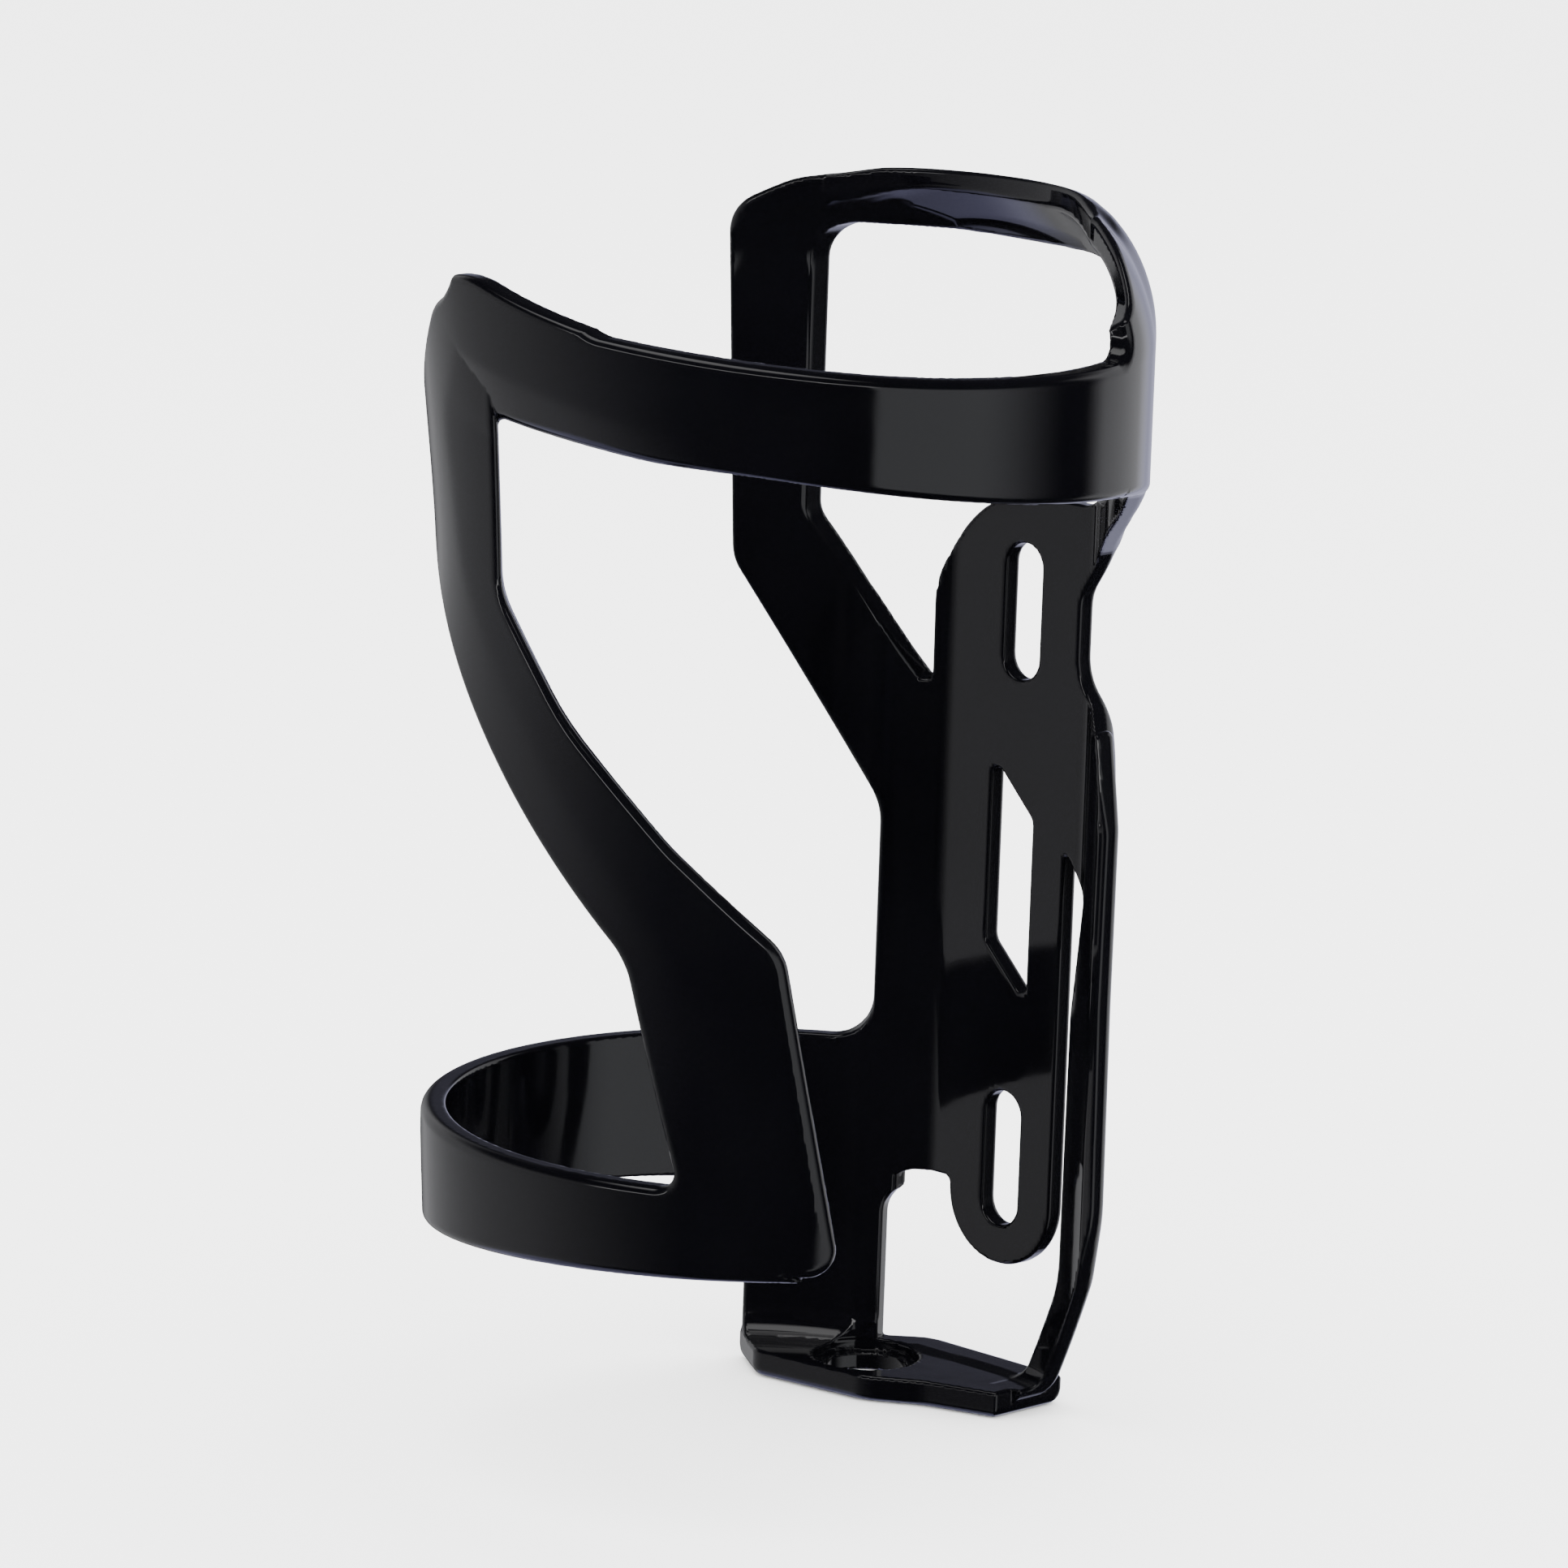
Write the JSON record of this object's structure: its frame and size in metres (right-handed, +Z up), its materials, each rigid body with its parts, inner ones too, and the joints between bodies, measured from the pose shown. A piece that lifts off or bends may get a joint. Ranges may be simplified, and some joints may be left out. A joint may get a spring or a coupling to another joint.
{
  "type": "water bottle cage",
  "caption": "Side-entry bicycle bottle cage: slotted back plate, curled hoop, Z-shaped front strap with two bands, and a bottle rest with a tool hole.",
  "frame": {"origin": "centre of the two bolt slots on the back face of the mounting plate", "axes": "+Z up along the bottle, +Y out of the plate's back into the bicycle frame, +X to the right seen from the front, so the bottle's axis is 40.3 mm along -Y"},
  "size_m": [0.0788, 0.0824, 0.1432],
  "materials": {
    "gloss_moulding": "deep gloss black, as moulded"
  },
  "bodies": {
    "root": {"mounting_plate": "gloss_moulding", "left_web": "gloss_moulding", "left_rail_diagonal": "gloss_moulding", "left_rail_upper": "gloss_moulding", "hoop": "gloss_moulding", "right_rail_upper": "gloss_moulding", "right_shoulder": "gloss_moulding", "right_gusset": "gloss_moulding", "right_web": "gloss_moulding", "right_rail_lower": "gloss_moulding", "right_foot": "gloss_moulding", "bottle_rest": "gloss_moulding", "left_leg": "gloss_moulding", "lower_band_root": "gloss_moulding", "lower_band_side": "gloss_moulding", "lower_band_front": "gloss_moulding", "arm_foot": "gloss_moulding", "arm_diagonal": "gloss_moulding", "arm_upper": "gloss_moulding", "arm_corner": "gloss_moulding", "upper_band_front": "gloss_moulding", "upper_band_side": "gloss_moulding"}
  },
  "joints": []
}
